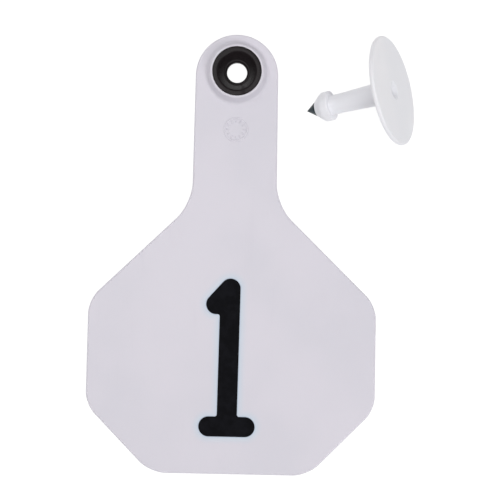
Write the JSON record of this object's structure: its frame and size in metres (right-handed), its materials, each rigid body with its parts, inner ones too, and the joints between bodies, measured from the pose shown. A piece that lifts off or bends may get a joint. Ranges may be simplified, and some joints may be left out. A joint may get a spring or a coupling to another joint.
{
  "type": "livestock ear tag",
  "caption": "Two-piece livestock ear tag: a printed panel with a locking collar in its head, and a self-piercing stud button that snaps through the collar's bore.",
  "frame": {"origin": "axis of the collar's bore, on the plane of the panel's flat back", "axes": "+Z out of the printed face along the bore, +Y up the panel towards its rounded head, +X to the right of the printed face"},
  "size_m": [0.0848, 0.1158, 0.0246],
  "materials": {
    "panel_plastic": "satin moulded polyurethane",
    "collar_plastic": "glossy stiff moulding",
    "numeral_ink": "flat black tag ink",
    "button_plastic": "satin moulded polyurethane",
    "tip_metal": "dark turned metal"
  },
  "bodies": {
    "root": {"tag_panel": "panel_plastic", "locking_collar": "collar_plastic", "ink_numeral": "numeral_ink", "stud_button": "button_plastic", "piercing_tip": "tip_metal"}
  },
  "joints": []
}
